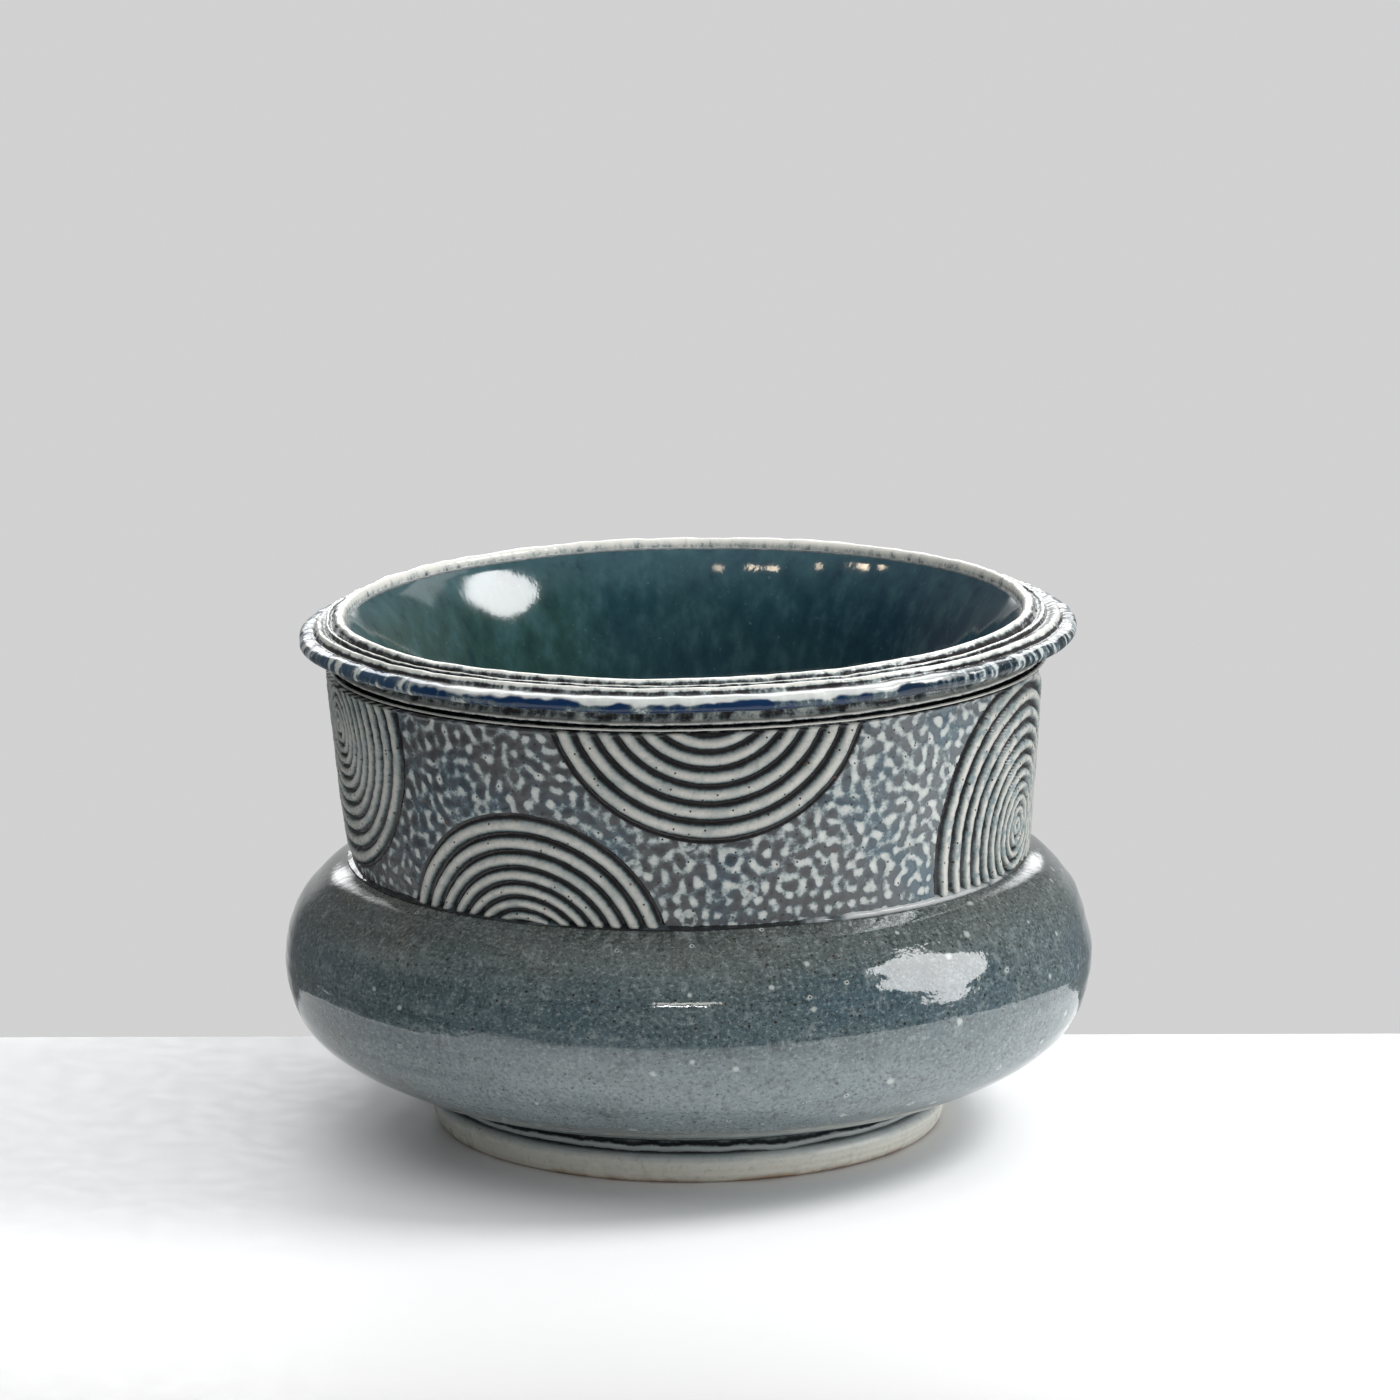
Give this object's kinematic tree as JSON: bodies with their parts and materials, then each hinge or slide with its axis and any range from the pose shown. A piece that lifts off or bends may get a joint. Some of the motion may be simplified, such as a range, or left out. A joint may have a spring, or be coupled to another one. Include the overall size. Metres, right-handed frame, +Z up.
{
  "type": "ceramic crock",
  "caption": "Open salt-glazed stoneware crock: bulbous belly on a foot ring, flared neck with a grooved rim flange, and an upright relief slab collar round the neck.",
  "frame": {"origin": "centre of the foot ring's flat bottom face, on the crock's turning axis", "axes": "+Z up through the mouth; the collar's seam is at +Y, so the pictured front faces -Y"},
  "size_m": [0.2558, 0.2558, 0.1655],
  "materials": {
    "foot_ring": "thin salt glaze, pale clay",
    "foot_slip": "glossy salt glaze",
    "belly": "glossy blue-grey salt glaze",
    "neck_slip": "glossy salt glaze",
    "collar_joint_slip": "glossy salt glaze",
    "collar_slab": "satin salt glaze over pressed relief",
    "collar_lap_slip": "satin salt glaze",
    "rim_slip": "satin salt glaze",
    "rim_neck": "glossy blue salt glaze, pale on the ridges"
  },
  "bodies": {
    "root": {"foot_ring": "foot_ring", "foot_slip": "foot_slip", "belly": "belly", "neck_slip": "neck_slip", "collar_joint_slip": "collar_joint_slip", "collar_slab": "collar_slab", "collar_lap_slip": "collar_lap_slip", "rim_slip": "rim_slip", "rim_neck": "rim_neck"}
  },
  "joints": []
}
